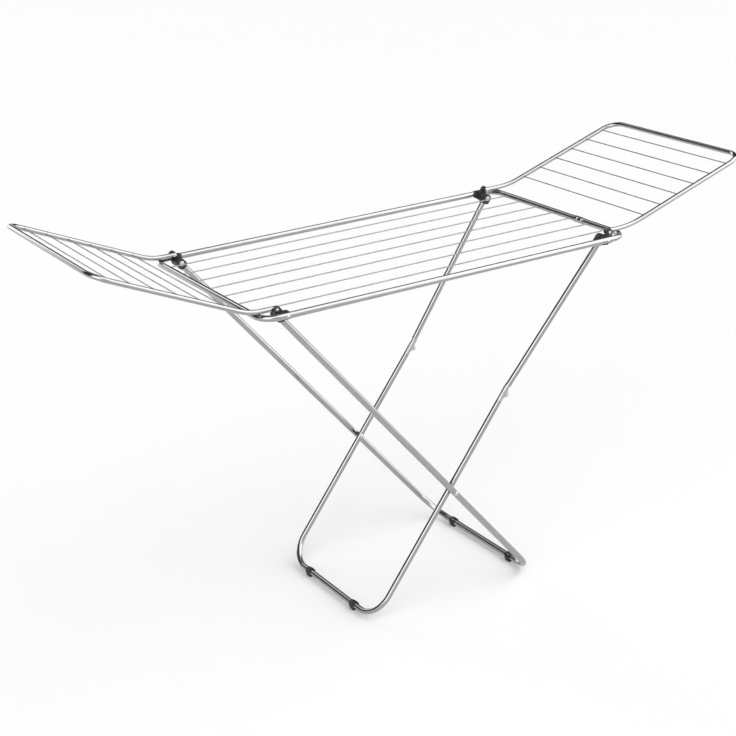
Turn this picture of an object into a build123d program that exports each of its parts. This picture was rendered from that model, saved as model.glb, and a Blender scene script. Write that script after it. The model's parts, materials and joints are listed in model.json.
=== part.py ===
from build123d import *
import os
from math import asin, atan2, cos, degrees, radians, sin, sqrt

# Folding clothes drying rack with two wings on X legs. All sizes are in millimetres.
# +Z is up and the floor is Z = 0. X runs along the rack, left wing at -X. Near is -Y, far is +Y.
# The origin is on the floor, under the middle of the opened rack's overall length and width.

os.makedirs("parts", exist_ok=True)

SIDES = {"left": -1, "right": 1}
DEPTHS = {"near": -1, "far": 1}

# --- driving dimensions: centre frame ------------------------------------------------------
pivot_spacing = 915.0      # left leg pivots to right leg pivots
end_overhang = 50.5        # leg pivot out to the axis of the end bar
rail_spacing = 562.0       # axis to axis across the frame
rail_height = 882.0        # axis of the frame tube above the floor
rail_diameter = 15.0
rail_wall = 0.9
frame_bend = 40.0          # bend radius of the frame corners, at the tube's axis
wire_diameter = 3.0
centre_wire_count = 7
weld_gap = 0.02            # wire end to tube, before the weld
seam_wire = 3              # the bent frame tube closes beside this wire, on the right end bar
seam_to_wire = 29.75       # seam to the axis of that wire, nearer
seam_gap = 1.0
sleeve_length = 36.0
sleeve_wall = 1.0

# --- driving dimensions: legs --------------------------------------------------------------
leg_a_diameter = 16.0
leg_b_diameter = 15.0
leg_wall = 0.9
bar_height = 13.0          # axis of the bottom bars above the floor
leg_a_foot_x = 250.0       # bottom bar of leg A, right of the frame's middle
leg_b_foot_x = 220.5       # bottom bar of leg B, left of the frame's middle
leg_top_inset = 34.0       # leg tubes at their top pivots, in from the rail's axis
leg_a_splay = 15.0         # leg A's corner, further in than its top
leg_b_inset = 35.5         # lower part of leg B, further in than its top
leg_a_bend = 75.0
leg_b_bend = 70.0
pivot_drop = 5.0           # leg pivots below the axis of the rails
knee_distance = 451.0      # right leg pivot to the knee
knee_pin_offset = 9.0      # knee pin outside the axis of leg B
pivot_pin_diameter = 6.0
tube_above_pivot = 8.0     # leg tube past its top pivot, inside the head

# --- driving dimensions: leg heads and corner blocks ---------------------------------------
head_radius = 11.5
head_reach = 13.0          # head below the pivot, along the leg
head_thickness = 24.0
head_round = 1.8
block_face = 18.6          # inner face of the block's plate, in from the rail's axis
plate_thickness = 8.0
block_inboard = 16.0       # block past the leg pivot, towards the middle of the rack
saddle_to_bend = 1.0       # saddle short of the frame tube's corner bend
saddle_height = 18.4
saddle_round = 3.0
leg_lobe_radius = 12.0
wing_lobe_radius = 8.5
block_round = 1.5
boss_radius = 11.0
pin_seat_depth = 6.0       # from the plate's inner face to the seats of the pin heads
leg_pin_head_radius = 5.2
leg_pin_head_height = 2.4
wing_pin_head_radius = 4.2
wing_pin_head_height = 2.0
leg_pin_cap_radius = 6.5
leg_pin_cap_height = 2.6
wing_pin_cap_radius = 4.5
wing_pin_cap_height = 1.8
screw_head_radius = 3.8
screw_head_height = 2.0
screw_diameter = 3.8
screw_bite = 3.5           # screw into the plate, behind the saddle
screw_inboard = 8.0        # screw towards the middle of the rack, from the leg pivot

# --- driving dimensions: wings -------------------------------------------------------------
wing_diameter = 12.0
wing_wall = 0.8
wing_side_gap = 0.4        # arm to the plate of the corner block
wing_pivot_reach = 9.5     # wing pivot outboard of the leg pivot
wing_flat = {"left": 60.0, "right": 73.0}       # pivot to the corner that an arm bends round
wing_slope = {"left": 388.2, "right": 387.0}    # that corner to the outer bar
wing_rise = {"left": 23.9, "right": 17.7}       # degrees
wing_arm_bend = {"left": 150.0, "right": 250.0}
wing_corner_bend = 42.0
wing_wire_diameter = 2.8
wing_wire_count = 6
wing_wire_first = 47.5     # outermost wire, from the outer bar
wing_wire_pitch = 57.0
wing_pin_diameter = 5.0
wing_tube_past_pivot = 4.0
wing_plug_length = 14.0
wing_plug_cap = 2.4
wing_plug_taper = 25.0     # degrees

# --- driving dimensions: knee hinge, crossing and feet -------------------------------------
knuckle_length = 22.0
knuckle_front = 8.6        # gusset beside the pin, out from the axis of the leg
knuckle_shoulder = 4.0     # gusset at its full height, along the leg
knuckle_toe = 14.0         # gusset's far end, along the leg
knuckle_toe_front = 2.0
eye_radius = 5.0
cheek_inner = 3.0          # half the slot between the cheeks
cheek_outer = 7.0
knee_pin_diameter = 4.0
knee_head_radius = 3.6
knee_head_height = 1.3
spigot_length = 18.0
spigot_root = 3.0          # spigot inside its knuckle
strut_end_gap = 0.7        # strut to knuckle, along the strut
crossing_pin_diameter = 6.0
rivet_head_radius = 5.6
rivet_head_height = 1.8
spacer_radius = 5.5
foot_width = 18.0
foot_wall = 3.0
foot_round = 1.0
foot_pad_length = 15.0
leg_a_foot_inset = 27.0    # middle of a foot, in from the end of the bottom bar's bend
leg_b_foot_inset = 31.5
clip_mouth = 9.0           # opening of a snap-on foot

# --- clearances ----------------------------------------------------------------------------
running_gap = 0.3          # between pieces that move past each other
pin_clearance = 0.05       # radial, where something turns on a pin
seat_clearance = 0.05      # radial, where a piece sits on or in a tube
pin_head_clearance = 0.2   # radial, round a pin's head in its seat
splay_clearance = 0.15     # where a flat seat meets the splayed tube of leg A

# --- places that follow from the sizes -----------------------------------------------------
rail_radius = rail_diameter / 2
wing_radius = wing_diameter / 2
pivot_x = pivot_spacing / 2
end_bar_x = pivot_x + end_overhang
rail_y = rail_spacing / 2
pivot_z = rail_height - pivot_drop
leg_top_y = rail_y - leg_top_inset
centre_wire_pitch = rail_spacing / (centre_wire_count + 1)
seam_y = centre_wire_pitch * seam_wire - rail_y - seam_to_wire
wing_pivot_x = pivot_x + wing_pivot_reach
wing_pivot_z = rail_height + rail_radius + wing_radius + running_gap
wing_reach = {
    name: wing_pivot_x + wing_flat[name] + wing_slope[name] * cos(radians(wing_rise[name]))
    for name in SIDES
}
frame_x = (wing_reach["left"] - wing_reach["right"]) / 2   # middle of the centre frame
plate_inner_y = rail_y - block_face
wing_y = plate_inner_y - wing_side_gap - wing_radius
boss_inner_y = leg_top_y + head_thickness / 2 + running_gap
leg_head_inner_y = leg_top_y - head_thickness / 2
leg_pin_seat_y = plate_inner_y + pin_seat_depth
wing_pin_seat_y = plate_inner_y + pin_seat_depth
screw_tip_y = plate_inner_y + plate_thickness - screw_bite

leg_a_top = Vector(frame_x - pivot_x, leg_top_y, pivot_z)
leg_a_corner = Vector(frame_x + leg_a_foot_x, leg_top_y - leg_a_splay, bar_height)
leg_a_axis = (leg_a_corner - leg_a_top).normalized()

leg_b_top = Vector(frame_x + pivot_x, leg_top_y, pivot_z)
leg_b_corner = Vector(frame_x - leg_b_foot_x, leg_top_y - leg_b_inset, bar_height)
leg_b_axis = Vector(leg_b_corner.X - leg_b_top.X, 0, leg_b_corner.Z - leg_b_top.Z).normalized()
knee = Vector(leg_b_top.X, leg_b_corner.Y, leg_b_top.Z) + leg_b_axis * knee_distance
strut_axis = (knee - leg_b_top).normalized()
knee_pin_x = knee.X - leg_b_axis.Z * knee_pin_offset
knee_pin_z = knee.Z + leg_b_axis.X * knee_pin_offset

# The two legs are drawn from the same height to the same height, so they cross at one share
# of their drop.
leg_a_spread = leg_a_corner.X - leg_a_top.X
leg_b_spread = leg_b_top.X - leg_b_corner.X
crossing_share = pivot_spacing / (leg_a_spread + leg_b_spread)
crossing_x = leg_a_top.X + crossing_share * leg_a_spread
crossing_z = pivot_z - crossing_share * (pivot_z - bar_height)
leg_a_crossing_y = leg_top_y + crossing_share * (leg_a_corner.Y - leg_top_y)
crossing_inner_y = leg_b_corner.Y + leg_b_diameter / 2
crossing_outer_y = leg_a_crossing_y - leg_a_diameter / 2
crossing_split_y = (crossing_inner_y + crossing_outer_y) / 2


def mirrored(point, depth):
    """The same point on the near (-1) or the far (+1) side of the rack."""
    return Vector(point.X, depth * point.Y, point.Z)


def save(part, name):
    part.label = name
    export_step(part, f"parts/{name}.step")


def rod(x, z, y_from, y_to, radius, mode=Mode.ADD):
    """A round rod along Y, added to the part being built or cut from it."""
    with Locations((x, (y_from + y_to) / 2, z)):
        Cylinder(radius, abs(y_to - y_from), rotation=(90, 0, 0), mode=mode)


def side_plane(point, direction):
    """A plane that looks along Y, with its own X along a direction in the XZ plane."""
    return Plane(origin=point, x_dir=(direction.X, 0, direction.Z), z_dir=(0, -1, 0))


def tube(points, bends, diameter, wall, cross_holes=()):
    """A round tube bent along straight runs, with holes along Y as (x, z, radius)."""
    with BuildPart() as piece:
        with BuildLine() as route:
            if bends:
                FilletPolyline(*points, radius=bends)
            else:
                Polyline(*points)
        with BuildSketch(Plane(origin=route.line @ 0, z_dir=route.line % 0)):
            Circle(diameter / 2)
            Circle(diameter / 2 - wall, mode=Mode.SUBTRACT)
        sweep(path=route.line)
        for x, z, radius in cross_holes:
            rod(x, z, -rail_spacing, rail_spacing, radius, mode=Mode.SUBTRACT)
    return piece.part


def dome(x, z, y, outward, radius, height):
    """A shallow riveted dome that stands on the plane at y and bulges along Y."""
    ball_radius = (radius**2 + height**2) / (2 * height)
    latitude = degrees(asin((ball_radius - height) / ball_radius))
    with Locations(Plane(origin=(x, y, z), z_dir=(0, outward, 0))):
        Sphere(ball_radius, arc_size1=latitude, arc_size2=90,
               align=(Align.CENTER, Align.CENTER, Align.MIN))


# --- centre frame: one bent tube, closed by a sleeve, and its wires ------------------------
frame_left = frame_x - end_bar_x
frame_right = frame_x + end_bar_x
screw_places = [(frame_x + side * (pivot_x - screw_inboard), rail_height) for side in SIDES.values()]
frame_route = [
    (frame_right, seam_y + seam_gap / 2, rail_height),
    (frame_right, rail_y, rail_height),
    (frame_left, rail_y, rail_height),
    (frame_left, -rail_y, rail_height),
    (frame_right, -rail_y, rail_height),
    (frame_right, seam_y - seam_gap / 2, rail_height),
]
screw_holes = [(x, z, screw_diameter / 2 + pin_clearance) for x, z in screw_places]
save(tube(frame_route, frame_bend, rail_diameter, rail_wall, screw_holes), "centre_frame_tube")

with BuildPart() as sleeve:
    rod(frame_right, rail_height, seam_y - sleeve_length / 2, seam_y + sleeve_length / 2,
        rail_radius + seat_clearance + sleeve_wall)
    fillet(sleeve.edges().filter_by(GeomType.CIRCLE), sleeve_wall / 2)
    rod(frame_right, rail_height, seam_y - sleeve_length, seam_y + sleeve_length,
        rail_radius + seat_clearance, mode=Mode.SUBTRACT)
save(sleeve.part, "frame_joint_sleeve")

centre_wire_length = 2 * (end_bar_x - rail_radius - weld_gap)
for index in range(centre_wire_count):
    wire_y = -rail_y + centre_wire_pitch * (index + 1)
    with BuildPart() as wire:
        with Locations((frame_x, wire_y, rail_height)):
            Cylinder(wire_diameter / 2, centre_wire_length, rotation=(0, 90, 0))
    save(wire.part, f"centre_wire_{index + 1}")


# --- corner blocks, and the pins and screws that they carry --------------------------------
def corner_block(side, depth):
    """The moulded block inside one end of a rail, which carries a leg and a wing arm."""
    leg_x = frame_x + side * pivot_x
    wing_x = frame_x + side * wing_pivot_x
    saddle_start = pivot_x - block_inboard
    saddle_end = end_bar_x - frame_bend - saddle_to_bend
    block_middle = frame_x + side * (saddle_start + saddle_end) / 2
    block_length = saddle_end - saddle_start
    plate_middle = depth * (plate_inner_y + plate_thickness / 2)
    saddle_inner_y = plate_inner_y + plate_thickness / 2
    leg_pin_radius = pivot_pin_diameter / 2
    wing_pin_radius = wing_pin_diameter / 2
    with BuildPart() as block:
        with BuildSketch(Plane.XZ.offset(-plate_middle)):
            with Locations((leg_x, pivot_z)):
                Circle(leg_lobe_radius)
            with Locations((wing_x, wing_pivot_z)):
                Circle(wing_lobe_radius)
            make_hull()
        extrude(amount=plate_thickness / 2, both=True)
        fillet(block.faces().filter_by(Axis.Y).edges(), block_round)
        with BuildSketch(Plane.XZ.offset(-depth * (saddle_inner_y + rail_y) / 2)):
            with Locations((block_middle, rail_height)):
                RectangleRounded(block_length, saddle_height, saddle_round)
        extrude(amount=(rail_y - saddle_inner_y) / 2, both=True)
        rod(leg_x, pivot_z, depth * boss_inner_y, depth * saddle_inner_y, boss_radius)
        with Locations((block_middle, depth * rail_y, rail_height)):
            Cylinder(rail_radius + seat_clearance, 2 * block_length, rotation=(0, 90, 0),
                     mode=Mode.SUBTRACT)
        rod(leg_x, pivot_z, 0, depth * rail_y, leg_pin_radius + seat_clearance, mode=Mode.SUBTRACT)
        rod(leg_x, pivot_z, depth * leg_pin_seat_y, depth * (rail_y - rail_radius / 2),
            leg_pin_head_radius + pin_head_clearance, mode=Mode.SUBTRACT)
        rod(wing_x, wing_pivot_z, 0, depth * rail_y, wing_pin_radius + seat_clearance,
            mode=Mode.SUBTRACT)
        rod(wing_x, wing_pivot_z, depth * wing_pin_seat_y, depth * rail_y,
            wing_pin_head_radius + pin_head_clearance, mode=Mode.SUBTRACT)
        rod(frame_x + side * (pivot_x - screw_inboard), rail_height, depth * screw_tip_y,
            depth * rail_y, screw_diameter / 2 + seat_clearance, mode=Mode.SUBTRACT)
    return block.part


for side_name, side in SIDES.items():
    for depth_name, depth in DEPTHS.items():
        save(corner_block(side, depth), f"corner_block_{side_name}_{depth_name}")

with BuildPart() as screws:
    rail_face = rail_y + rail_radius + seat_clearance
    for x, z in screw_places:
        for depth in DEPTHS.values():
            rod(x, z, depth * screw_tip_y, depth * rail_face, screw_diameter / 2)
            dome(x, z, depth * rail_face, depth, screw_head_radius, screw_head_height)
save(screws.part, "block_screws")

for leg_name, side in (("leg_a", -1), ("leg_b", 1)):
    x = frame_x + side * pivot_x
    cap_y = leg_head_inner_y - running_gap
    with BuildPart() as pins:
        for depth in DEPTHS.values():
            rod(x, pivot_z, depth * cap_y, depth * leg_pin_seat_y, pivot_pin_diameter / 2)
            rod(x, pivot_z, depth * leg_pin_seat_y,
                depth * (leg_pin_seat_y + leg_pin_head_height), leg_pin_head_radius)
            dome(x, pivot_z, depth * cap_y, -depth, leg_pin_cap_radius, leg_pin_cap_height)
    save(pins.part, f"{leg_name}_pivot_pins")

for side_name, side in SIDES.items():
    x = frame_x + side * wing_pivot_x
    cap_y = wing_y - wing_radius - running_gap
    with BuildPart() as pins:
        for depth in DEPTHS.values():
            rod(x, wing_pivot_z, depth * cap_y, depth * wing_pin_seat_y, wing_pin_diameter / 2)
            rod(x, wing_pivot_z, depth * wing_pin_seat_y,
                depth * (wing_pin_seat_y + wing_pin_head_height), wing_pin_head_radius)
            dome(x, wing_pivot_z, depth * cap_y, -depth, wing_pin_cap_radius, wing_pin_cap_height)
    save(pins.part, f"{side_name}_wing_pivot_pins")


# --- wings ---------------------------------------------------------------------------------
def wing_point(side_name, along):
    """A point on the rising part of an arm, measured in from the outer bar."""
    rise = radians(wing_rise[side_name])
    reach = wing_slope[side_name] - along
    x = wing_pivot_x + wing_flat[side_name] + reach * cos(rise)
    return Vector(frame_x + SIDES[side_name] * x, 0, wing_pivot_z + reach * sin(rise))


def wing_wire_half(along):
    """Half the length of a wing wire, which is shorter where the corner bends inwards."""
    inner_bend = wing_corner_bend - wing_radius
    into_bend = max(wing_corner_bend - along + wing_wire_diameter / 2, 0)
    straight_half = wing_y - wing_corner_bend
    return straight_half + sqrt(inner_bend**2 - into_bend**2) - weld_gap


for side_name, side in SIDES.items():
    pivot = Vector(frame_x + side * wing_pivot_x, wing_y, wing_pivot_z)
    end = pivot - Vector(side * wing_tube_past_pivot, 0, 0)
    arm_bend = pivot + Vector(side * wing_flat[side_name], 0, 0)
    outer = wing_point(side_name, 0) + Vector(0, wing_y, 0)
    near_arm = [mirrored(point, -1) for point in (end, arm_bend, outer)]
    far_arm = [outer, arm_bend, end]
    arm_radius = wing_arm_bend[side_name]
    bends = [arm_radius, wing_corner_bend, wing_corner_bend, arm_radius]
    holes = [(pivot.X, pivot.Z, wing_pin_diameter / 2 + pin_clearance)]
    save(tube(near_arm + far_arm, bends, wing_diameter, wing_wall, holes), f"{side_name}_wing_tube")

    for index in range(wing_wire_count):
        along = wing_wire_first + wing_wire_pitch * index
        place = wing_point(side_name, along)
        half = wing_wire_half(along)
        with BuildPart() as wire:
            rod(place.X, place.Z, -half, half, wing_wire_diameter / 2)
        save(wire.part, f"{side_name}_wing_wire_{index + 1}")

    with BuildPart() as plugs:
        for depth in DEPTHS.values():
            plug_bore = wing_radius - wing_wall - seat_clearance
            cap_start = Vector(end.X, depth * wing_y, end.Z)
            with BuildSketch(Plane(origin=cap_start, z_dir=(side, 0, 0))):
                Circle(plug_bore)
            extrude(amount=wing_plug_length)
            with BuildSketch(Plane(origin=cap_start, z_dir=(-side, 0, 0))):
                Circle(wing_radius)
            extrude(amount=wing_plug_cap, taper=wing_plug_taper)
        rod(pivot.X, pivot.Z, -rail_y, rail_y, wing_pin_diameter / 2 + pin_clearance,
            mode=Mode.SUBTRACT)
    save(plugs.part, f"{side_name}_wing_end_plugs")


# --- legs ----------------------------------------------------------------------------------
def leg_head(top, axis, tube_diameter, depth):
    """The moulded cap on a leg's top end, which turns on the corner block's pin."""
    pivot = mirrored(top, depth)
    direction = mirrored(axis, depth)
    with BuildPart() as head:
        with BuildSketch(side_plane(pivot, axis)):
            Circle(head_radius)
            with Locations((head_reach / 2, 0)):
                Rectangle(head_reach, 2 * head_radius)
        extrude(amount=head_thickness / 2, both=True)
        fillet(head.faces().filter_by(Axis.Y).edges(), head_round)
        socket_end = pivot - direction * (tube_above_pivot + running_gap)
        with Locations(Plane(origin=socket_end, z_dir=direction)):
            Cylinder(tube_diameter / 2 + seat_clearance, 2 * (head_reach + head_radius),
                     align=(Align.CENTER, Align.CENTER, Align.MIN), mode=Mode.SUBTRACT)
        rod(pivot.X, pivot.Z, 0, depth * rail_y, pivot_pin_diameter / 2 + pin_clearance,
            mode=Mode.SUBTRACT)
    return head.part


leg_pin_hole = pivot_pin_diameter / 2 + pin_clearance
crossing_hole = crossing_pin_diameter / 2 + seat_clearance

leg_a_end = leg_a_top - leg_a_axis * tube_above_pivot
leg_a_route = [mirrored(leg_a_end, -1), mirrored(leg_a_corner, -1), leg_a_corner, leg_a_end]
leg_a_holes = [(leg_a_top.X, leg_a_top.Z, leg_pin_hole), (crossing_x, crossing_z, crossing_hole)]
save(tube(leg_a_route, leg_a_bend, leg_a_diameter, leg_wall, leg_a_holes), "leg_a_tube")
for depth_name, depth in DEPTHS.items():
    save(leg_head(leg_a_top, leg_a_axis, leg_a_diameter, depth), f"leg_a_head_{depth_name}")

strut_start = leg_b_top - strut_axis * tube_above_pivot
strut_finish = knee - strut_axis * (knuckle_length + strut_end_gap)
for depth_name, depth in DEPTHS.items():
    route = [mirrored(strut_start, depth), mirrored(strut_finish, depth)]
    holes = [(leg_b_top.X, leg_b_top.Z, leg_pin_hole)]
    save(tube(route, None, leg_b_diameter, leg_wall, holes), f"leg_b_strut_{depth_name}")
    save(leg_head(leg_b_top, strut_axis, leg_b_diameter, depth), f"leg_b_head_{depth_name}")

leg_b_start = knee + leg_b_axis * (knuckle_length + weld_gap)
leg_b_route = [mirrored(leg_b_start, -1), mirrored(leg_b_corner, -1), leg_b_corner, leg_b_start]
leg_b_holes = [(crossing_x, crossing_z, crossing_hole)]
save(tube(leg_b_route, leg_b_bend, leg_b_diameter, leg_wall, leg_b_holes), "leg_b_tube")


# --- knee hinge: an upper knuckle with two cheeks, a lower one with a tongue ----------------
def knuckle(depth, upper):
    """One half of a knee hinge. Its eyes stand on the outer side of the leg."""
    place = mirrored(knee, depth)
    toward = -1 if upper else 1
    face = running_gap / 2
    gusset = [
        (toward * face, 0),
        (toward * face, knuckle_front),
        (toward * knuckle_shoulder, knuckle_front),
        (toward * knuckle_toe, knuckle_toe_front),
        (toward * knuckle_toe, 0),
    ]
    tongue_half = cheek_inner - running_gap
    beyond = 2 * cheek_outer
    cheeks = [(cheek_inner, cheek_outer), (-cheek_outer, -cheek_inner)]
    tongue = [(-tongue_half, tongue_half)]
    slot_for_tongue = [(-cheek_inner, cheek_inner)]
    slots_for_cheeks = [(tongue_half, beyond), (-beyond, -tongue_half)]
    eyes = cheeks if upper else tongue
    slots = slot_for_tongue if upper else slots_for_cheeks
    bore = knee_pin_diameter / 2 + (seat_clearance if upper else pin_clearance)
    body_axis = leg_b_axis * toward
    spigot_axis = mirrored(strut_axis, depth) * -1 if upper else leg_b_axis
    spigot_start = place + spigot_axis * (knuckle_length - spigot_root)
    with BuildPart() as half:
        with Locations(Plane(origin=place + body_axis * face, z_dir=body_axis)):
            Cylinder(leg_b_diameter / 2, knuckle_length - face,
                     align=(Align.CENTER, Align.CENTER, Align.MIN))
        with BuildSketch(side_plane(place, leg_b_axis)):
            with BuildLine():
                Polyline(*gusset, close=True)
            make_face()
        extrude(amount=cheek_outer, both=True)
        for y_from, y_to in slots:
            rod(knee_pin_x, knee_pin_z, place.Y + y_from, place.Y + y_to,
                eye_radius + running_gap, mode=Mode.SUBTRACT)
        for y_from, y_to in eyes:
            rod(knee_pin_x, knee_pin_z, place.Y + y_from, place.Y + y_to, eye_radius)
        rod(knee_pin_x, knee_pin_z, place.Y - beyond, place.Y + beyond, bore, mode=Mode.SUBTRACT)
        with Locations(Plane(origin=spigot_start, z_dir=spigot_axis)):
            Cylinder(leg_b_diameter / 2 - leg_wall - seat_clearance, spigot_length + spigot_root,
                     align=(Align.CENTER, Align.CENTER, Align.MIN))
    return half.part


for depth_name, depth in DEPTHS.items():
    save(knuckle(depth, True), f"knee_upper_{depth_name}")
    save(knuckle(depth, False), f"knee_lower_{depth_name}")

with BuildPart() as knee_pins:
    for depth in DEPTHS.values():
        outer_end = depth * (knee.Y + cheek_outer + seat_clearance)
        inner_end = depth * (knee.Y - cheek_outer - seat_clearance)
        rod(knee_pin_x, knee_pin_z, inner_end, outer_end, knee_pin_diameter / 2)
        dome(knee_pin_x, knee_pin_z, outer_end, depth, knee_head_radius, knee_head_height)
        dome(knee_pin_x, knee_pin_z, inner_end, -depth, knee_head_radius, knee_head_height)
save(knee_pins.part, "knee_pins")


# --- crossing of the legs: each leg holds its own half of the rivet and a spacer -----------
leg_a_outer_y = leg_a_crossing_y + leg_a_diameter / 2 + splay_clearance
leg_b_inner_y = leg_b_corner.Y - leg_b_diameter / 2 - seat_clearance
rivet_halves = {
    "leg_a": (crossing_split_y + running_gap / 2, leg_a_outer_y, 1),
    "leg_b": (crossing_split_y - running_gap / 2, leg_b_inner_y, -1),
}
for leg_name, (split_end, head_end, outward) in rivet_halves.items():
    with BuildPart() as rivets:
        for depth in DEPTHS.values():
            rod(crossing_x, crossing_z, depth * split_end, depth * head_end,
                crossing_pin_diameter / 2)
            dome(crossing_x, crossing_z, depth * head_end, depth * outward,
                 rivet_head_radius, rivet_head_height)
    save(rivets.part, f"{leg_name}_crossing_rivets")

spacer_ends = {
    "leg_a": (crossing_split_y + running_gap / 2, crossing_outer_y - splay_clearance),
    "leg_b": (crossing_inner_y + seat_clearance, crossing_split_y - running_gap / 2),
}
for leg_name, (y_from, y_to) in spacer_ends.items():
    with BuildPart() as spacers:
        for depth in DEPTHS.values():
            rod(crossing_x, crossing_z, depth * y_from, depth * y_to, spacer_radius)
        rod(crossing_x, crossing_z, -rail_y, rail_y, crossing_pin_diameter / 2 + seat_clearance,
            mode=Mode.SUBTRACT)
    save(spacers.part, f"{leg_name}_crossing_spacers")


# --- feet: snap-on collars with a flat pad -------------------------------------------------
def foot(x, y, bar_diameter, leg_axis):
    """A clip round the bottom bar, open towards the leg, flat where it meets the floor."""
    bore = bar_diameter / 2 + seat_clearance
    outside = bar_diameter / 2 + foot_wall
    mouth_angle = degrees(atan2(-leg_axis.Z, -leg_axis.X))
    with BuildPart() as clip:
        with BuildSketch(Plane.XZ.offset(-y)):
            with Locations((x, bar_height)):
                Circle(outside)
            with Locations((x, bar_height / 2)):
                Rectangle(foot_pad_length, bar_height)
        extrude(amount=foot_width / 2, both=True)
        fillet(clip.faces().filter_by(Axis.Y).edges(), foot_round)
        rod(x, bar_height, y - foot_width, y + foot_width, bore, mode=Mode.SUBTRACT)
        with BuildSketch(Plane.XZ.offset(-y)):
            with Locations(Location((x, bar_height, 0), (0, 0, mouth_angle))):
                with Locations((outside, 0)):
                    Rectangle(2 * outside, clip_mouth)
        extrude(amount=foot_width, both=True, mode=Mode.SUBTRACT)
    return clip.part


leg_a_foot_y = leg_a_corner.Y - leg_a_bend - leg_a_foot_inset
leg_b_foot_y = leg_b_corner.Y - leg_b_bend - leg_b_foot_inset
for depth_name, depth in DEPTHS.items():
    save(foot(leg_a_corner.X, depth * leg_a_foot_y, leg_a_diameter, leg_a_axis),
         f"leg_a_foot_{depth_name}")
    save(foot(leg_b_corner.X, depth * leg_b_foot_y, leg_b_diameter, leg_b_axis),
         f"leg_b_foot_{depth_name}")
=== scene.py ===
import json
from math import acos, atan2, ceil, cos, pi, radians, sin, sqrt

import bmesh
import bpy
from mathutils import Matrix, Vector


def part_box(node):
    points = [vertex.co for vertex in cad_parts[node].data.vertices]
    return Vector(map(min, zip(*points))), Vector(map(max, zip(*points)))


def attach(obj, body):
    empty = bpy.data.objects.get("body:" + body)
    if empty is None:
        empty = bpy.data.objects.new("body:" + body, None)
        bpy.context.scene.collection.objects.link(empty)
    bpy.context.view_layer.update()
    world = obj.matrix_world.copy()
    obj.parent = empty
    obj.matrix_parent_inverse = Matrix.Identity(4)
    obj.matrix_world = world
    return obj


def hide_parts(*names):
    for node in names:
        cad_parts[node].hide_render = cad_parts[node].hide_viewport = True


# The looks of a folding clothes drying rack: chromed tubes, welded wires, moulded joints and feet.
# Metres throughout, in the frame of the CAD part: X along the rack, +Z up, the floor at Z = 0.

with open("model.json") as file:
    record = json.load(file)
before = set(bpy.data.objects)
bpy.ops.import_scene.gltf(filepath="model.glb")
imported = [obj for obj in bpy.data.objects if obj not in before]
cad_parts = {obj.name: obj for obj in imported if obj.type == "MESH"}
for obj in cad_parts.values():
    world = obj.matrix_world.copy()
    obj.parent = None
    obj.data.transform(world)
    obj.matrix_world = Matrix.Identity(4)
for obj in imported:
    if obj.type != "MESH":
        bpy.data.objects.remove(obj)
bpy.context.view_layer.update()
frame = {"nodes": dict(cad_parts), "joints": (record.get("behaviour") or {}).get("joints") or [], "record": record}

MM = 0.001
UP = Vector((0, 0, 1))
SIDES = {"left": -1, "right": 1}
DEPTHS = {"near": -1, "far": 1}

# --- sizes that the boxes of the frame don't give ------------------------------------------
frame_bend = 40 * MM
tube_wall = 0.9 * MM
wing_wall = 0.8 * MM
wing_flat = {"left": 60 * MM, "right": 73 * MM}   # pivot to the corner that an arm bends round
wing_arm_bend = {"left": 150 * MM, "right": 250 * MM}
wing_corner_bend = 42 * MM
wing_tube_past_pivot = 4 * MM
leg_a_radius = 8 * MM
leg_b_radius = 7.5 * MM
leg_a_foot_y = 232 * MM
leg_a_bend = 75 * MM
leg_b_bend = 70 * MM
leg_past_pivot = 8 * MM
knuckle_length = 22 * MM
seam_gap = 1 * MM
head_radius = 11.5 * MM
head_reach = 13 * MM
head_round = 1.8 * MM
head_mouth_round = 2.5 * MM
pin_seat_y = 268.4 * MM                           # where the outer heads of the pivot pins seat
pin_clearance = 0.3 * MM                          # between a pin's inner head and what it holds
leg_pin_radius = 3 * MM
leg_pin_head_radius = 5.2 * MM
leg_pin_cap_height = 2.6 * MM
wing_pin_radius = 2.5 * MM
wing_pin_head_radius = 4.2 * MM
wing_pin_cap_height = 1.8 * MM
wing_plug_length = 14 * MM
screw_head_radius = 3.8 * MM
screw_head_height = 2 * MM
screw_radius = 1.9 * MM
screw_tip_y = 266.9 * MM
knee_pin_radius = 2 * MM
knee_head_height = 1.3 * MM
foot_wall = 3 * MM
foot_pad_half = 7.5 * MM
foot_mouth_half = 4.5 * MM

# --- finish of the meshes ------------------------------------------------------------------
tube_sides = 40
wire_sides = 20
pin_sides = 36
arc_step = radians(4.5)
fewest_arc_steps = 6
bend_flattening = 0.035      # how far a bend's section is squashed towards its centre
sharp_angle = radians(38)
tiny = 1e-6                  # keeps a ring open and a divisor above zero
dome_steps = 9
round_steps = 4
head_round_steps = 24
head_corner_steps = 5
foot_lobe_steps = 30
foot_bore_steps = 40
screw_sides = 96             # enough for the arms of the recess

# --- small details -------------------------------------------------------------------------
dome_rim_share = 0.94        # the rolled rim of a struck head, as a share of its radius
dome_rim_rise = 0.12         # and of its height
dome_fullness = 0.8
flat_head_chamfer = 0.3 * MM
mould_line_half = 0.25 * MM
mould_line_depth = 0.35 * MM

weld_sink = 0.7 * MM         # wire end inside the tube it is welded to
# Millimetres from the wire's end, and the bead's radius as a share of the wire's.
weld_bead = [(0.0, 1.75), (0.9, 1.72), (1.35, 1.55), (1.9, 1.25), (2.6, 1.06), (3.4, 1.0)]
weld_metal_rings = 4         # the rest of the bead is wire again

# Millimetres past a head's mouth, and above the tube.
collar_outline = [
    (-0.6, 0.0), (-0.6, 2.7), (1.3, 2.7), (1.9, 2.5), (3.5, 1.3), (4.0, 0.9), (4.0, 0.0),
]
# Millimetres past a head's inner face, and from its pivot.
pin_rim_outline = [(-0.5, 7.2), (0.7, 7.3), (0.9, 7.6), (0.9, 8.6), (0.7, 8.9), (-0.5, 9.0)]

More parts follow.
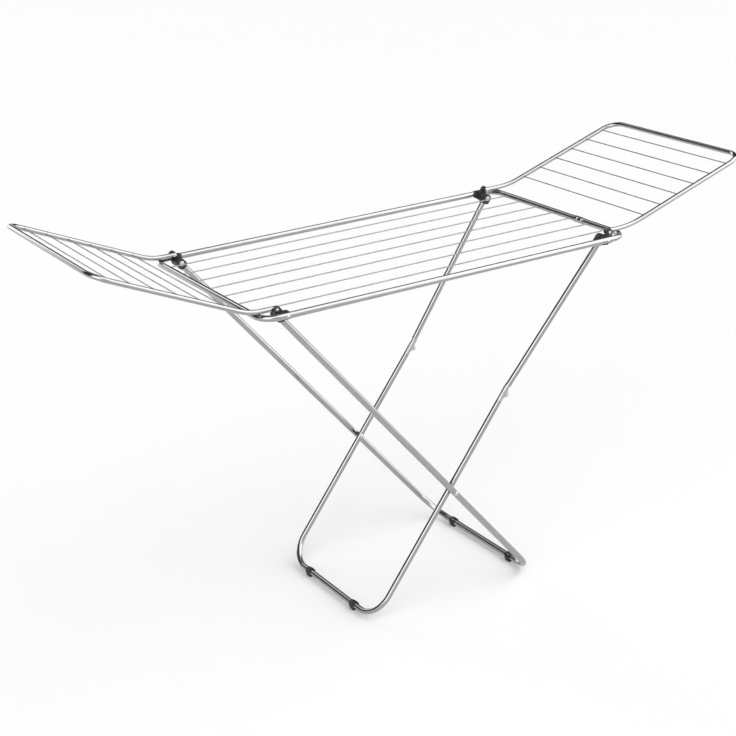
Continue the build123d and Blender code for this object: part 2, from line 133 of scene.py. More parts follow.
screw_tip_taper = 1 * MM
screw_tip_share = 0.6
# Millimetres above the rail, and the share of the head's radius.
screw_head_outline = [(0.0, 0.95), (0.3, 1.0), (1.0, 0.88), (1.6, 0.66)]
recess_top = 1.78 * MM
recess_floor = 0.9 * MM
recess_floor_share = 0.72
recess_arm = 2.1 * MM
recess_half = 0.5 * MM

sleeve_wall = 1 * MM
sleeve_roll = 0.4 * MM
crimp_places = (0.25, 0.75)  # shares of the sleeve's length
# Millimetres from the middle of a crimp, and how deep it is there.
crimp_outline = [(-1.6, 0.0), (-0.9, 0.35), (-0.3, 0.55), (0.3, 0.55), (0.9, 0.35), (1.6, 0.0)]

plug_lead_in = 1 * MM
plug_first_rib = 3 * MM
plug_rib_pitch = 2.6 * MM
plug_rib_rise = 0.5 * MM
plug_ribs = 4
# The plug's radii as shares of the tube's bore.
plug_nose, plug_shoulder, plug_groove, plug_rib = 0.8, 0.97, 0.93, 0.98
plug_rim = 0.25 * MM
plug_rim_inset = 0.1 * MM
plug_cap_fullness = 0.6

foot_round = 1 * MM
foot_waist_half = 0.9 * MM
foot_waist_depth = 0.9 * MM
tread_corner_rise = 1.2 * MM
tread_corner_run = 0.9 * MM
tread_groove_pitch = 3.6 * MM
tread_groove_half = 0.7 * MM
tread_groove_floor_half = 0.4 * MM
tread_groove_depth = 0.7 * MM

# --- camera --------------------------------------------------------------------------------
camera_azimuth = radians(-30.76)
camera_elevation = radians(20.92)
camera_roll = radians(-2.59)
camera_distance = 4.4706
camera_aim = Vector((0.0232, 0.1994, 0.4975))
camera_lens = 82.67
camera_reach = 200

# --- studio --------------------------------------------------------------------------------
floor_radius = 40
floor_sides = 96
floor_shade = 0.80
floor_roughness = 0.8
room_strength = 2.85
seen_shade = 0.97            # of the background that the camera sees
# Dark panels of the room: the way to the panel, the cosines of the angles from there at which it
# starts and is full, and its shade.
dark_panels = [
    ((0.66, 0.70, 0.26), 0.70, 0.84, 0.02),     # behind the rack
    ((-0.76, 0.43, 0.48), 0.68, 0.85, 0.03),    # beside it
    ((0.0, -0.98, 0.18), 0.80, 0.94, 0.30),     # before it
    ((-0.15, 0.25, 0.96), 0.76, 0.88, 0.10),    # overhead
]

body_of_node = {
    node: body
    for body, nodes in frame["record"]["behaviour"]["bodies"].items()
    for node in nodes
}
pivots = {joint["name"]: Vector(joint["pos_m"]) for joint in frame["joints"]}


# --- materials -----------------------------------------------------------------------------
class Finish:
    """A procedural material under construction, with a few short ways to add nodes."""

    def __init__(self, name, colour, metallic, roughness):
        self.material = bpy.data.materials.new(name)
        self.material.use_nodes = True
        self.nodes = self.material.node_tree.nodes
        self.links = self.material.node_tree.links
        self.shader = self.nodes["Principled BSDF"]
        self.shader.inputs["Base Color"].default_value = (*colour, 1)
        self.shader.inputs["Metallic"].default_value = metallic
        self.shader.inputs["Roughness"].default_value = roughness
        self.coordinates = self.nodes.new("ShaderNodeTexCoord").outputs["Object"]

    def noise(self, scale, detail=2.0, stretch=(1, 1, 1)):
        mapping = self.nodes.new("ShaderNodeMapping")
        mapping.inputs["Scale"].default_value = stretch
        self.links.new(self.coordinates, mapping.inputs["Vector"])
        noise = self.nodes.new("ShaderNodeTexNoise")
        noise.inputs["Scale"].default_value = scale
        noise.inputs["Detail"].default_value = detail
        self.links.new(mapping.outputs["Vector"], noise.inputs["Vector"])
        return noise.outputs["Fac"]

    def spread(self, value, low, high, to_low, to_high):
        """Maps value from low..high to to_low..to_high, and stops at both ends."""
        node = self.nodes.new("ShaderNodeMapRange")
        node.inputs["From Min"].default_value = low
        node.inputs["From Max"].default_value = high
        node.inputs["To Min"].default_value = to_low
        node.inputs["To Max"].default_value = to_high
        self.links.new(value, node.inputs["Value"])
        return node.outputs["Result"]

    def combined(self, first, second, operation="ADD"):
        node = self.nodes.new("ShaderNodeMath")
        node.operation = operation
        self.links.new(first, node.inputs[0])
        self.links.new(second, node.inputs[1])
        return node.outputs["Value"]

    def roughness(self, value):
        self.links.new(value, self.shader.inputs["Roughness"])

    def colour(self, value, dark, light):
        ramp = self.nodes.new("ShaderNodeValToRGB")
        ramp.color_ramp.elements[0].color = (*dark, 1)
        ramp.color_ramp.elements[1].color = (*light, 1)
        self.links.new(value, ramp.inputs["Fac"])
        self.links.new(ramp.outputs["Color"], self.shader.inputs["Base Color"])

    def bump(self, value, strength, depth):
        node = self.nodes.new("ShaderNodeBump")
        node.inputs["Strength"].default_value = strength
        node.inputs["Distance"].default_value = depth
        self.links.new(value, node.inputs["Height"])
        self.links.new(node.outputs["Normal"], self.shader.inputs["Normal"])


def chrome_finish():
    """Bright chromium plate: faint smudges, fine polishing marks and a slight unevenness."""
    finish = Finish("chrome_plate", (0.34, 0.345, 0.355), 1.0, 0.08)
    smudges = finish.noise(38, 4)
    marks = finish.noise(900, 2)
    finish.colour(smudges, (0.31, 0.315, 0.325), (0.39, 0.395, 0.40))
    finish.roughness(finish.combined(
        finish.spread(smudges, 0.35, 0.75, 0.045, 0.13),
        finish.spread(marks, 0.45, 0.8, 0.0, 0.05)))
    waves = finish.combined(finish.spread(marks, 0, 1, 0, 0.25), finish.noise(55, 1))
    finish.bump(waves, 0.18, 0.15 * MM)
    return finish.material


def wire_finish():
    """Plated wire: a little duller than the tubes, with drawing marks."""
    finish = Finish("wire_plate", (0.26, 0.265, 0.275), 1.0, 0.28)
    patches = finish.noise(60, 3)
    finish.colour(patches, (0.21, 0.215, 0.225), (0.31, 0.315, 0.325))
    finish.roughness(finish.spread(patches, 0.3, 0.75, 0.22, 0.38))
    finish.bump(finish.noise(1400, 2), 0.15, 0.05 * MM)
    return finish.material


def weld_finish():
    """Weld metal under thin plate: rough, darker, and tinted by the heat."""
    finish = Finish("weld_metal", (0.25, 0.23, 0.21), 1.0, 0.45)
    heat = finish.noise(420, 3)
    finish.colour(heat, (0.10, 0.095, 0.11), (0.42, 0.38, 0.33))
    finish.roughness(finish.spread(heat, 0.3, 0.7, 0.35, 0.6))
    finish.bump(finish.noise(1600, 4), 0.6, 0.25 * MM)
    return finish.material


def hinge_finish():
    """Pressed and plated hinge steel: satin, with brushed grain."""
    finish = Finish("hinge_plate", (0.42, 0.43, 0.44), 1.0, 0.3)
    grain = finish.noise(260, 3, (1, 9, 1))
    finish.colour(grain, (0.36, 0.365, 0.375), (0.50, 0.505, 0.51))
    finish.roughness(finish.spread(grain, 0.3, 0.75, 0.22, 0.42))
    finish.bump(grain, 0.2, 0.08 * MM)
    return finish.material


def fastener_finish():
    """Rivet and screw steel: bright, turned or struck, with light handling marks."""
    finish = Finish("fastener_plate", (0.58, 0.58, 0.59), 1.0, 0.16)
    marks = finish.noise(700, 4)
    finish.colour(marks, (0.48, 0.48, 0.49), (0.66, 0.66, 0.665))
    finish.roughness(finish.spread(marks, 0.35, 0.7, 0.10, 0.26))
    finish.bump(marks, 0.15, 0.06 * MM)
    return finish.material


def plastic_finish(name, dark, light, dull):
    """Moulded plastic: spark-eroded grain, uneven gloss, and dust in the grain."""
    finish = Finish(name, dark, 0.0, dull)
    grain = finish.noise(2100, 3)
    patches = finish.noise(90, 4)
    finish.colour(finish.combined(grain, patches, "MULTIPLY"), dark, light)
    finish.roughness(finish.combined(
        finish.spread(patches, 0.3, 0.7, dull - 0.07, dull + 0.05),
        finish.spread(grain, 0.3, 0.7, -0.04, 0.06)))
    finish.bump(grain, 0.3, 0.12 * MM)
    return finish.material


finishes = {
    "chrome_tube": chrome_finish(),
    "wire_steel": wire_finish(),
    "hinge_steel": hinge_finish(),
    "fastener_steel": fastener_finish(),
    "black_plastic": plastic_finish(
        "joint_plastic", (0.008, 0.008, 0.009), (0.03, 0.03, 0.032), 0.42),
    "foot_plastic": plastic_finish(
        "foot_plastic_grain", (0.011, 0.011, 0.012), (0.036, 0.036, 0.038), 0.58),
}
weld_metal = weld_finish()
slot_of_node = {name: node.data.materials[0].name for name, node in frame["nodes"].items()}
for name, node in frame["nodes"].items():
    node.material_slots[0].material = finishes[slot_of_node[name]]


# --- mesh tools ----------------------------------------------------------------------------
def finished(name, mesh, node, *more_materials):
    """Makes a piece of a bmesh, in place of a CAD node, with that node's body, slot and finish."""
    data = bpy.data.meshes.new(name)
    bmesh.ops.recalc_face_normals(mesh, faces=mesh.faces)
    mesh.to_mesh(data)
    mesh.free()
    data.shade_smooth()
    data.set_sharp_from_angle(angle=sharp_angle)
    piece = bpy.data.objects.new(name, data)
    bpy.context.scene.collection.objects.link(piece)
    for material in (finishes[slot_of_node[node]], *more_materials):
        data.materials.append(material)
    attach(piece, body_of_node[node])
    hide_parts(node)
    return piece


def bent_route(corners, bend):
    """Points along straight runs joined by tangent arcs: (point, way to the centre, flattening).

    The flattening is 0 where an arc starts and ends, and 1 at its middle.
    """
    route = [(corners[0], Vector(), 0.0)]
    for before, corner, after in zip(corners, corners[1:], corners[2:]):
        way_in = (before - corner).normalized()
        way_out = (after - corner).normalized()
        turn = pi - acos(max(-1.0, min(1.0, way_in.dot(way_out))))
        radius = bend if not isinstance(bend, dict) else bend[tuple(corner)]
        tangent = radius * sin(turn / 2) / cos(turn / 2)
        middle_way = (way_in + way_out).normalized()
        centre = corner + middle_way * (radius / cos(turn / 2))
        start = corner + way_in * tangent
        steps = max(fewest_arc_steps, ceil(turn / arc_step))
        arm = start - centre
        axis = way_in.cross(way_out).normalized()
        for index in range(steps + 1):
            share = index / steps
            place = centre + Matrix.Rotation(-turn * share, 3, axis) @ arm
            route.append((place, (centre - place).normalized(), sin(pi * share) ** 0.5))
    route.append((corners[-1], Vector(), 0.0))
    return route


def ring(mesh, place, across, over, radius, sides, squash_way, squash):
    """One ring of points round a route, flattened a little along squash_way."""
    points = []
    for index in range(sides):
        angle = 2 * pi * index / sides
        size = radius(angle) if callable(radius) else max(radius, tiny)
        arm = (across * cos(angle) + over * sin(angle)) * size
        arm -= squash_way * (arm.dot(squash_way) * squash)
        points.append(mesh.verts.new(place + arm))
    return points


def bridge(mesh, first, second):
    for index in range(len(first)):
        after = (index + 1) % len(first)
        mesh.faces.new((first[index], first[after], second[after], second[index]))


def sweep(name, node, corners, bend, radius, wall):
    """An open-ended tube of real wall thickness along a bent route."""
    mesh = bmesh.new()
    route = bent_route(corners, bend)
    places = [place for place, way, flattening in route]
    tangent = (places[1] - places[0]).normalized()
    across = tangent.orthogonal().normalized()
    outer, inner = [], []
    for index, (place, way, flattening) in enumerate(route):
        before = places[max(index - 1, 0)]
        after = places[min(index + 1, len(places) - 1)]
        heading = ((place - before).normalized() + (after - place).normalized()).normalized()
        across = (across - heading * across.dot(heading)).normalized()
        over = heading.cross(across)
        squash = bend_flattening * flattening
        outer.append(ring(mesh, place, across, over, radius, tube_sides, way, squash))
        inner.append(ring(mesh, place, across, over, radius - wall, tube_sides, way, squash))
    for rings in (outer, inner):
        for first, second in zip(rings, rings[1:]):
            bridge(mesh, first, second)
    bridge(mesh, outer[0], inner[0])
    bridge(mesh, outer[-1], inner[-1])
    return finished(name, mesh, node)


def add_turned(mesh, start, direction, profile, sides, weld_faces=(), hollow=False):
    """Adds a turned shape: profile is (distance along, radius).

    It goes from end to end or, if hollow, all the way round the wall. A radius may be a function
    of the angle. The strips of faces listed in weld_faces get the second material.
    """
    direction = direction.normalized()
    across = direction.orthogonal().normalized()
    over = direction.cross(across)
    rings = [
        ring(mesh, start + direction * along, across, over, radius, sides, Vector(), 0)
        for along, radius in profile
    ]
    for index, (first, second) in enumerate(zip(rings, rings[1:])):
        before = len(mesh.faces)
        bridge(mesh, first, second)
        if index in weld_faces:
            mesh.faces.ensure_lookup_table()
            for face in mesh.faces[before:]:
                face.material_index = 1
    if hollow:
        bridge(mesh, rings[-1], rings[0])
    else:
        mesh.faces.new(rings[0])
        mesh.faces.new(rings[-1])


def domed(radius, turn, fullness):
    """The radius of a dome at a turn from its rim (0) to its top (a quarter turn)."""
    return radius * max(cos(turn), 0.0) ** fullness


def dome_profile(radius, height, start=0.0):
    """A struck rivet head: a short rolled rim, then a dome that flattens at its top."""
    profile = [(start, radius * dome_rim_share), (start + height * dome_rim_rise, radius)]
    for index in range(1, dome_steps + 1):
        turn = (pi / 2) * index / dome_steps
        rise = dome_rim_rise + (1 - dome_rim_rise) * sin(turn)
        profile.append((start + height * rise, domed(radius, turn, dome_fullness)))
    return profile


def add_layers(mesh, outline, layers, place, weights=None):
    """Adds a moulding of stacked copies of an outline: layers are (distance, inset).

    A point's weight is the share of the inset that it takes.
    """
    count = len(outline)
    weights = weights or [1.0] * count
    outward = []
    for index in range(count):
        before, after = outline[index - 1], outline[(index + 1) % count]
        run = Vector((after[0] - before[0], after[1] - before[1])).normalized()
        outward.append((run.y * weights[index], -run.x * weights[index]))
    rings = []
    for distance, inset in layers:
        rings.append([
            mesh.verts.new(place(u - out_u * inset, v - out_v * inset, distance))
            for (u, v), (out_u, out_v) in zip(outline, outward)
        ])
    for first, second in zip(rings, rings[1:]):
        bridge(mesh, first, second)
    mesh.faces.new(rings[0])
    mesh.faces.new(rings[-1])


def rounded_layers(half, round_radius, groove_half, groove_depth):
    """Layers from -half to half with rounded rims and a groove round the middle."""
    rim = []
    for index in range(round_steps + 1):
        turn = (pi / 2) * index / round_steps
        rim.append((half - round_radius * (1 - cos(turn)), round_radius * (1 - sin(turn))))
    lower = [(-distance, inset) for distance, inset in rim]
    groove = [
        (-groove_half * 2, 0.0), (-groove_half, groove_depth),
        (groove_half, groove_depth), (groove_half * 2, 0.0),
    ]
    return lower + groove + list(reversed(rim))


# --- tubes ---------------------------------------------------------------------------------
def tube_centre_frame():
    low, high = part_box("centre_frame_tube")
    radius = (high.z - low.z) / 2
    left, right = low.x + radius, high.x - radius
    near, far = low.y + radius, high.y - radius
    z = (low.z + high.z) / 2
    sleeve_low, sleeve_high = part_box("frame_joint_sleeve")
    seam_y = (sleeve_low.y + sleeve_high.y) / 2
    corners = [
        Vector((right, seam_y + seam_gap / 2, z)),
        Vector((right, far, z)),
        Vector((left, far, z)),
        Vector((left, near, z)),
        Vector((right, near, z)),
        Vector((right, seam_y - seam_gap / 2, z)),
    ]
    sweep("chromed_centre_frame", "centre_frame_tube", corners, frame_bend, radius, tube_wall)


def tube_wing(side_name):
    side = SIDES[side_name]
    node = f"{side_name}_wing_tube"
    low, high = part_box(node)
    pivot = pivots[f"{side_name}_wing_fold"]
    radius = pivot.z - low.z
    half = high.y - radius
    outer_x = high.x - radius if side > 0 else low.x + radius
    end_x = pivot.x - side * wing_tube_past_pivot
    bend_x = pivot.x + side * wing_flat[side_name]
    arm = [(end_x, pivot.z), (bend_x, pivot.z), (outer_x, high.z - radius)]
    near_arm = [Vector((x, -half, z)) for x, z in arm]
    far_arm = [Vector((x, half, z)) for x, z in reversed(arm)]
    bends = {}
    for points in (near_arm, far_arm):
        for point in points:
            is_outer = abs(point.x - outer_x) < MM
            bends[tuple(point)] = wing_corner_bend if is_outer else wing_arm_bend[side_name]
    sweep(f"chromed_{side_name}_wing", node, near_arm + far_arm, bends, radius, wing_wall)


def leg_b_line():
    """Leg B's top pivot, its lower corner and its direction, all in the XZ plane."""
    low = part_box("leg_b_tube")[0]
    top = pivots["leg_b_fold"]
    corner = Vector((low.x + leg_b_radius, 0, low.z + leg_b_radius))
    return top, corner, (corner - top).normalized()


def leg_a_line():
    """Leg A's top pivot, its lower corner and its direction, on the far side."""
    low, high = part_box("leg_a_tube")
    head_low, head_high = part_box("leg_a_head_far")
    top = pivots["leg_a_fold"] + Vector((0, (head_low.y + head_high.y) / 2, 0))
    corner = Vector((high.x - leg_a_radius, leg_a_foot_y, low.z + leg_a_radius))
    return top, corner, (corner - top).normalized()


def tube_legs():
    """Makes the tubes of both legs, and gives the direction of each strut."""
    top, corner, direction = leg_a_line()
    end = top - direction * leg_past_pivot
    flip = Vector((1, -1, 1))
    corners = [end * flip, corner * flip, corner, end]
    sweep("chromed_leg_a", "leg_a_tube", corners, leg_a_bend, leg_a_radius, tube_wall)

    top, corner, direction = leg_b_line()
    across = Vector((0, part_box("leg_b_tube")[1].y - leg_b_radius, 0))
    knee_distance = (pivots["knee_fold"] - top).dot(direction)
    knee = top + direction * knee_distance
    start = knee + direction * knuckle_length
    corners = [start - across, corner - across, corner + across, start + across]
    sweep("chromed_leg_b", "leg_b_tube", corners, leg_b_bend, leg_b_radius, tube_wall)

    headings = {}
    for depth_name, depth in DEPTHS.items():
        head_low, head_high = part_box(f"leg_b_head_{depth_name}")
        strut_top = top + Vector((0, (head_low.y + head_high.y) / 2, 0))
        strut_knee = knee + across * depth
        heading = (strut_knee - strut_top).normalized()
        headings[depth_name] = heading
        ends = [strut_top - heading * leg_past_pivot, strut_knee - heading * knuckle_length]
        node = f"leg_b_strut_{depth_name}"
        sweep(f"chromed_strut_{depth_name}", node, ends, 0, leg_b_radius, tube_wall)
    return headings


# --- wires ---------------------------------------------------------------------------------
def wire(node):
    """A wire with a weld at each end, where it meets the tube."""
    low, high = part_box(node)
    along_x = high.x - low.x > high.y - low.y
    radius = (high.z - low.z) / 2
    middle = (low + high) / 2
    direction = Vector((1, 0, 0)) if along_x else Vector((0, 1, 0))
    half = (high.x - low.x) / 2 if along_x else (high.y - low.y) / 2
    length = 2 * (half + weld_sink)
    first = [(along * MM, share * radius) for along, share in weld_bead]
    last = [(length - along, size) for along, size in reversed(first)]
    profile = first + last
    strips = len(profile) - 1
    welds = (*range(weld_metal_rings), *range(strips - weld_metal_rings, strips))
    mesh = bmesh.new()
    add_turned(mesh, middle - direction * length / 2, direction, profile, wire_sides, welds)
    finished(f"welded_{node}", mesh, node, weld_metal)


# --- moulded joints, feet and fasteners ----------------------------------------------------
def head_outline():
    """A leg head seen from the side: round over its pivot, straight down to its mouth."""
    points = []
    for index in range(head_round_steps + 1):
        turn = pi / 2 + pi * index / head_round_steps
        points.append((head_radius * cos(turn), head_radius * sin(turn)))
    corner = head_mouth_round
    centre_u = head_reach - corner
    for centre_v, first in ((-head_radius + corner, -pi / 2), (head_radius - corner, 0.0)):
        for index in range(head_corner_steps + 1):
            turn = first + (pi / 2) * index / head_corner_steps
            points.append((centre_u + corner * cos(turn), centre_v + corner * sin(turn)))
    return points


def leg_head(node, pivot, axis, tube_radius):
    """A moulded leg head with its mould line, the collar at its mouth and a rim round its pin."""
    low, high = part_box(node)
    depth = 1 if low.y > 0 else -1
    middle = Vector((pivot.x, (low.y + high.y) / 2, pivot.z))
    along = Vector((axis.x, 0, axis.z)).normalized()
    across = Vector((-along.z, 0, along.x))
    half = (high.y - low.y) / 2

    def place(u, v, y):
        return middle + along * u + across * v + Vector((0, y, 0))

    mesh = bmesh.new()
    layers = rounded_layers(half, head_round, mould_line_half, mould_line_depth)
    add_layers(mesh, head_outline(), layers, place)
    collar = [(past * MM, tube_radius + above * MM) for past, above in collar_outline]
    add_turned(mesh, middle + axis * head_reach, axis, collar, tube_sides, hollow=True)
    rim = [(past * MM, size * MM) for past, size in pin_rim_outline]
    inner_face = middle - Vector((0, depth * half, 0))
    add_turned(mesh, inner_face, Vector((0, -depth, 0)), rim, tube_sides, hollow=True)
    finished(f"moulded_{node}", mesh, node)


def flat_head(radius, height, start):
    """A plain round head with a chamfered edge."""
    end = start + height
    return [(start, radius), (end - flat_head_chamfer, radius), (end, radius - flat_head_chamfer)]


def pins(node, pivot, inner_y, outer_y, shank_radius, inner_head, outer_head, outer_shape):
    """Two pins along Y, one each side, domed at the inner end: a head is (radius, height)."""
    length = outer_y - inner_y
    profile = [(-along, size) for along, size in reversed(dome_profile(*inner_head))]
    profile += [(0.0, shank_radius), (length, shank_radius)]
    profile += outer_shape(*outer_head, length)
    mesh = bmesh.new()
    for depth in DEPTHS.values():
        start = Vector((pivot.x, depth * inner_y, pivot.z))
        add_turned(mesh, start, Vector((0, depth, 0)), profile, pin_sides)
    finished(f"struck_{node}", mesh, node)


def all_pins():
    for leg_name in ("leg_a", "leg_b"):
        node = f"{leg_name}_pivot_pins"
        low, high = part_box(node)
        cap_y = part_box(f"{leg_name}_head_far")[0].y - pin_clearance
        pins(node, pivots[f"{leg_name}_fold"], cap_y, pin_seat_y, leg_pin_radius,
             ((high.x - low.x) / 2, leg_pin_cap_height),
             (leg_pin_head_radius, high.y - pin_seat_y), flat_head)
    for side_name in SIDES:
        node = f"{side_name}_wing_pivot_pins"
        low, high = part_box(node)
        pivot = pivots[f"{side_name}_wing_fold"]
        tube_low, tube_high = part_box(f"{side_name}_wing_tube")
        cap_y = tube_high.y - 2 * (pivot.z - tube_low.z) - pin_clearance
        pins(node, pivot, cap_y, pin_seat_y, wing_pin_radius,
             ((high.x - low.x) / 2, wing_pin_cap_height),
             (wing_pin_head_radius, high.y - pin_seat_y), flat_head)
    low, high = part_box("knee_pins")
    head = ((high.x - low.x) / 2, knee_head_height)
    outer_y = high.y - knee_head_height
    knee_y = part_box("leg_b_tube")[1].y - leg_b_radius
    inner_y = 2 * knee_y - outer_y
    pins("knee_pins", pivots["knee_fold"], inner_y, outer_y, knee_pin_radius,
         head, head, dome_profile)


def cross_recess(angle):
    """How far a cross-shaped driver recess reaches at an angle."""
    reach = 0.0
    for turn in (0.0, pi / 2):
        out, side = abs(cos(angle - turn)), abs(sin(angle - turn))
        reach = max(reach, min(recess_arm / max(out, tiny), recess_half / max(side, tiny)))
    return reach


def narrowed_recess(angle):
    """The same at the floor of the recess."""
    return cross_recess(angle) * recess_floor_share


def screws():
    node = "block_screws"
    low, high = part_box(node)
    z = (low.z + high.z) / 2
    face_y = high.y - screw_head_height
    tip = screw_tip_y - face_y
    profile = [
        (tip, screw_radius * screw_tip_share), (tip + screw_tip_taper, screw_radius),
        (0.0, screw_radius),
    ]
    profile += [(above * MM, screw_head_radius * share) for above, share in screw_head_outline]
    profile += [(recess_top, cross_recess), (recess_floor, narrowed_recess)]
    mesh = bmesh.new()
    for x in (low.x + screw_head_radius, high.x - screw_head_radius):
        for depth in DEPTHS.values():
            start = Vector((x, depth * face_y, z))
            add_turned(mesh, start, Vector((0, depth, 0)), profile, screw_sides)
    finished("cross_head_block_screws", mesh, node)


def sleeve():
    """The sleeve over the frame's seam: rolled ends and two crimps that grip the tube."""
    node = "frame_joint_sleeve"
    low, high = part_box(node)
    outer = (high.z - low.z) / 2
    bore = outer - sleeve_wall
    length = high.y - low.y
    profile = [(0.0, bore), (0.0, outer - sleeve_roll), (sleeve_roll, outer)]
    for share in crimp_places:
        for offset, sink in crimp_outline:
            profile.append((length * share + offset * MM, outer - sink * MM))
    profile += [(length - sleeve_roll, outer), (length, outer - sleeve_roll), (length, bore)]
    mesh = bmesh.new()
    start = Vector(((low.x + high.x) / 2, low.y, (low.z + high.z) / 2))
    add_turned(mesh, start, Vector((0, 1, 0)), profile, tube_sides, hollow=True)
    finished("crimped_frame_sleeve", mesh, node)


def wing_plugs(side_name):
    """The plugs in a wing tube's ends: a ribbed shank inside and a domed cap outside."""
    node = f"{side_name}_wing_end_plugs"
    side = SIDES[side_name]
    low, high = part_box(node)
    radius = (high.z - low.z) / 2
    bore = radius - wing_wall
    cap_x = high.x - wing_plug_length if side > 0 else low.x + wing_plug_length
    nose = cap_x - low.x if side > 0 else high.x - cap_x
    tip = -wing_plug_length
    profile = [(tip, bore * plug_nose), (tip + plug_lead_in, bore * plug_shoulder)]
    for rib in range(plug_ribs):
        along = tip + plug_first_rib + plug_rib_pitch * rib
        profile += [(along, bore * plug_groove), (along + plug_rib_rise, bore * plug_rib)]
    profile += [(0.0, bore * plug_rib), (0.0, radius - plug_rim_inset), (plug_rim, radius)]
    for index in range(1, dome_steps + 1):
        turn = (pi / 2) * index / dome_steps
        along = plug_rim + (nose - plug_rim) * sin(turn)
        profile.append((along, domed(radius, turn, plug_cap_fullness)))
    mesh = bmesh.new()
    for y in (low.y + radius, high.y - radius):
        start = Vector((cap_x, y, (low.z + high.z) / 2))
        add_turned(mesh, start, Vector((-side, 0, 0)), profile, pin_sides)
    finished(f"ribbed_{side_name}_wing_plugs", mesh, node)


def arc_points(radius, first, last, steps):
    """Points on a circle about the origin, from one angle to another."""
    turns = [first + (last - first) * index / steps for index in range(steps + 1)]
    return [(radius * cos(turn), radius * sin(turn)) for turn in turns]


def tread_outline(height):
    """The underside of a foot between its two upper corners, with three grooves across it."""
    half = foot_pad_half
    tread = [(-half, -height + tread_corner_rise), (-half + tread_corner_run, -height)]
    for centre in (-tread_groove_pitch, 0.0, tread_groove_pitch):
        tread += [
            (centre - tread_groove_half, -height),
            (centre - tread_groove_floor_half, -height + tread_groove_depth),
            (centre + tread_groove_floor_half, -height + tread_groove_depth),
            (centre + tread_groove_half, -height),
        ]
    tread += [(half - tread_corner_run, -height), (half, -height + tread_corner_rise)]
    return tread


def foot(node, bar_radius, axis):
    """A snap-on foot: two lobes round the bar with a waist between them, and a grooved tread."""
    low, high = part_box(node)
    middle = Vector(((low.x + high.x) / 2, (low.y + high.y) / 2, 0))
    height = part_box("leg_a_tube" if "leg_a" in node else "leg_b_tube")[0].z + bar_radius
    outside, bore = bar_radius + foot_wall, bar_radius
    mouth = atan2(-axis.z, -axis.x)
    lip, inner_lip = (acos(sqrt(1 - (foot_mouth_half / size) ** 2)) for size in (outside, bore))
    pad = acos(-foot_pad_half / outside)
    pad_z = -sqrt(outside ** 2 - foot_pad_half ** 2)
    pad_end = 2 * pi + atan2(pad_z, foot_pad_half)
    outer_points = (
        arc_points(outside, mouth + lip, 2 * pi - pad, foot_lobe_steps)
        + tread_outline(height)
        + arc_points(outside, pad_end, mouth + 2 * pi - lip, foot_lobe_steps))
    bore_points = arc_points(
        bore, mouth + 2 * pi - inner_lip, mouth + inner_lip, foot_bore_steps)
    weights = [1.0] * len(outer_points) + [0.0] * len(bore_points)
    half = (high.y - low.y) / 2
    layers = rounded_layers(half, foot_round, foot_waist_half, foot_waist_depth)

    def place(u, v, y):
        return middle + Vector((u, y, height + v))

    mesh = bmesh.new()
    add_layers(mesh, outer_points + bore_points, layers, place, weights)
    finished(f"clipped_{node}", mesh, node)


tube_centre_frame()
for side_name in SIDES:
    tube_wing(side_name)
strut_headings = tube_legs()
for name in sorted(frame["nodes"]):
    if "_wire_" in name:
        wire(name)
leg_a_top, _, leg_a_axis = leg_a_line()
leg_b_top, _, leg_b_axis = leg_b_line()
for depth_name, depth in DEPTHS.items():
    flip = Vector((1, depth, 1))
    leg_head(f"leg_a_head_{depth_name}", leg_a_top, leg_a_axis * flip, leg_a_radius)
    leg_head(f"leg_b_head_{depth_name}", leg_b_top, strut_headings[depth_name], leg_b_radius)
    foot(f"leg_a_foot_{depth_name}", leg_a_radius, leg_a_axis)
    foot(f"leg_b_foot_{depth_name}", leg_b_radius, leg_b_axis)
for side_name in SIDES:
    wing_plugs(side_name)
all_pins()
screws()
sleeve()


# --- floor, light and camera ---------------------------------------------------------------
def floor():
    mesh = bmesh.new()
    bmesh.ops.create_circle(mesh, cap_ends=True, segments=floor_sides, radius=floor_radius)
    data = bpy.data.meshes.new("studio_floor")
    mesh.to_mesh(data)
    mesh.free()
    piece = bpy.data.objects.new("studio_floor", data)
    bpy.context.scene.collection.objects.link(piece)
    paint = Finish("studio_floor_paint", (floor_shade,) * 3, 0.0, floor_roughness)
    data.materials.append(paint.material)


def dark_zone(nodes, links, direction, way, start, full, dark):
    """A soft dark patch of the room: 1 is light, and dark is the shade at its middle."""
    towards = nodes.new("ShaderNodeVectorMath")
    towards.operation = "DOT_PRODUCT"
    towards.inputs[1].default_value = Vector(way).normalized()
    links.new(direction, towards.inputs[0])
    ramp = nodes.new("ShaderNodeValToRGB")
    ramp.color_ramp.elements[0].position = start
    ramp.color_ramp.elements[0].color = (1, 1, 1, 1)
    ramp.color_ramp.elements[1].position = full
    ramp.color_ramp.elements[1].color = (dark, dark, dark, 1)
    links.new(towards.outputs["Value"], ramp.inputs["Fac"])
    return ramp.outputs["Color"]


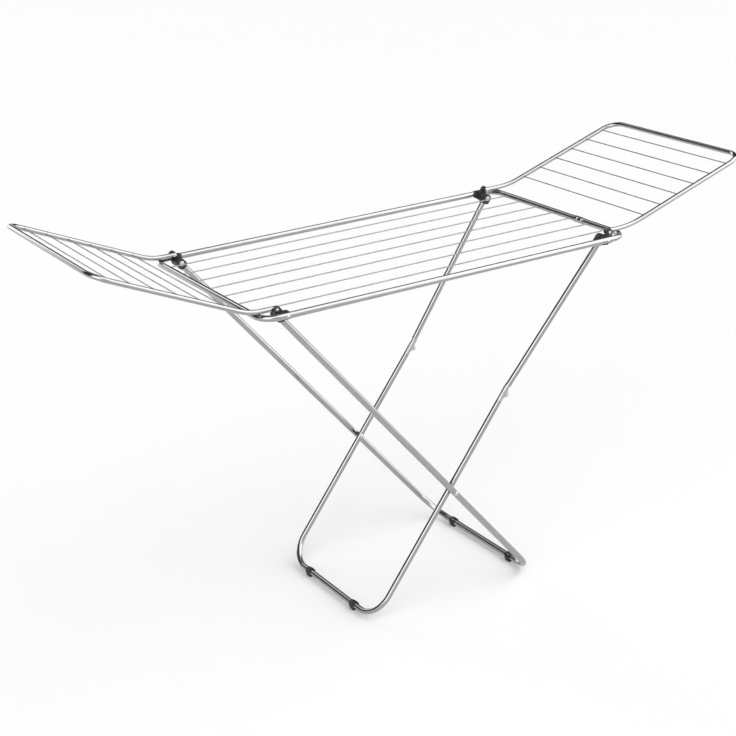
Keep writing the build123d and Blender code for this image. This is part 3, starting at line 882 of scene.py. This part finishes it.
def darker(nodes, links, first, second):
    """The product of two shades."""
    node = nodes.new("ShaderNodeVectorMath")
    node.operation = "MULTIPLY"
    links.new(first, node.inputs[0])
    links.new(second, node.inputs[1])
    return node.outputs["Vector"]


def studio_light():
    """A pale room with a few dark panels, so that the chrome has something to reflect."""
    world = bpy.data.worlds.new("studio")
    bpy.context.scene.world = world
    world.use_nodes = True
    nodes, links = world.node_tree.nodes, world.node_tree.links
    background = nodes["Background"]
    direction = nodes.new("ShaderNodeTexCoord").outputs["Generated"]
    room, *others = (dark_zone(nodes, links, direction, *panel) for panel in dark_panels)
    for panel in others:
        room = darker(nodes, links, room, panel)
    links.new(room, background.inputs["Color"])
    background.inputs["Strength"].default_value = room_strength
    seen = nodes.new("ShaderNodeBackground")
    seen.inputs["Color"].default_value = (seen_shade, seen_shade, seen_shade, 1)
    paths = nodes.new("ShaderNodeLightPath")
    mix = nodes.new("ShaderNodeMixShader")
    links.new(paths.outputs["Is Camera Ray"], mix.inputs["Fac"])
    links.new(background.outputs["Background"], mix.inputs[1])
    links.new(seen.outputs["Background"], mix.inputs[2])
    links.new(mix.outputs["Shader"], nodes["World Output"].inputs["Surface"])


def look_along(azimuth, elevation, roll):
    """Rotation of a camera that looks down on the rack: its right, up and back."""
    back = Vector((sin(azimuth) * cos(elevation), -cos(azimuth) * cos(elevation), sin(elevation)))
    right = UP.cross(back).normalized()
    up = back.cross(right)
    turned_right = right * cos(roll) + up * sin(roll)
    turned_up = up * cos(roll) - right * sin(roll)
    return Matrix((turned_right, turned_up, back)).transposed()


def camera():
    data = bpy.data.cameras.new("camera")
    data.lens = camera_lens
    data.clip_end = camera_reach
    piece = bpy.data.objects.new("camera", data)
    bpy.context.scene.collection.objects.link(piece)
    rotation = look_along(camera_azimuth, camera_elevation, camera_roll)
    place = camera_aim + rotation.col[2] * camera_distance
    piece.matrix_world = Matrix.Translation(place) @ rotation.to_4x4()
    bpy.context.scene.camera = piece


floor()
studio_light()
camera()
bpy.context.scene.view_settings.view_transform = "Standard"
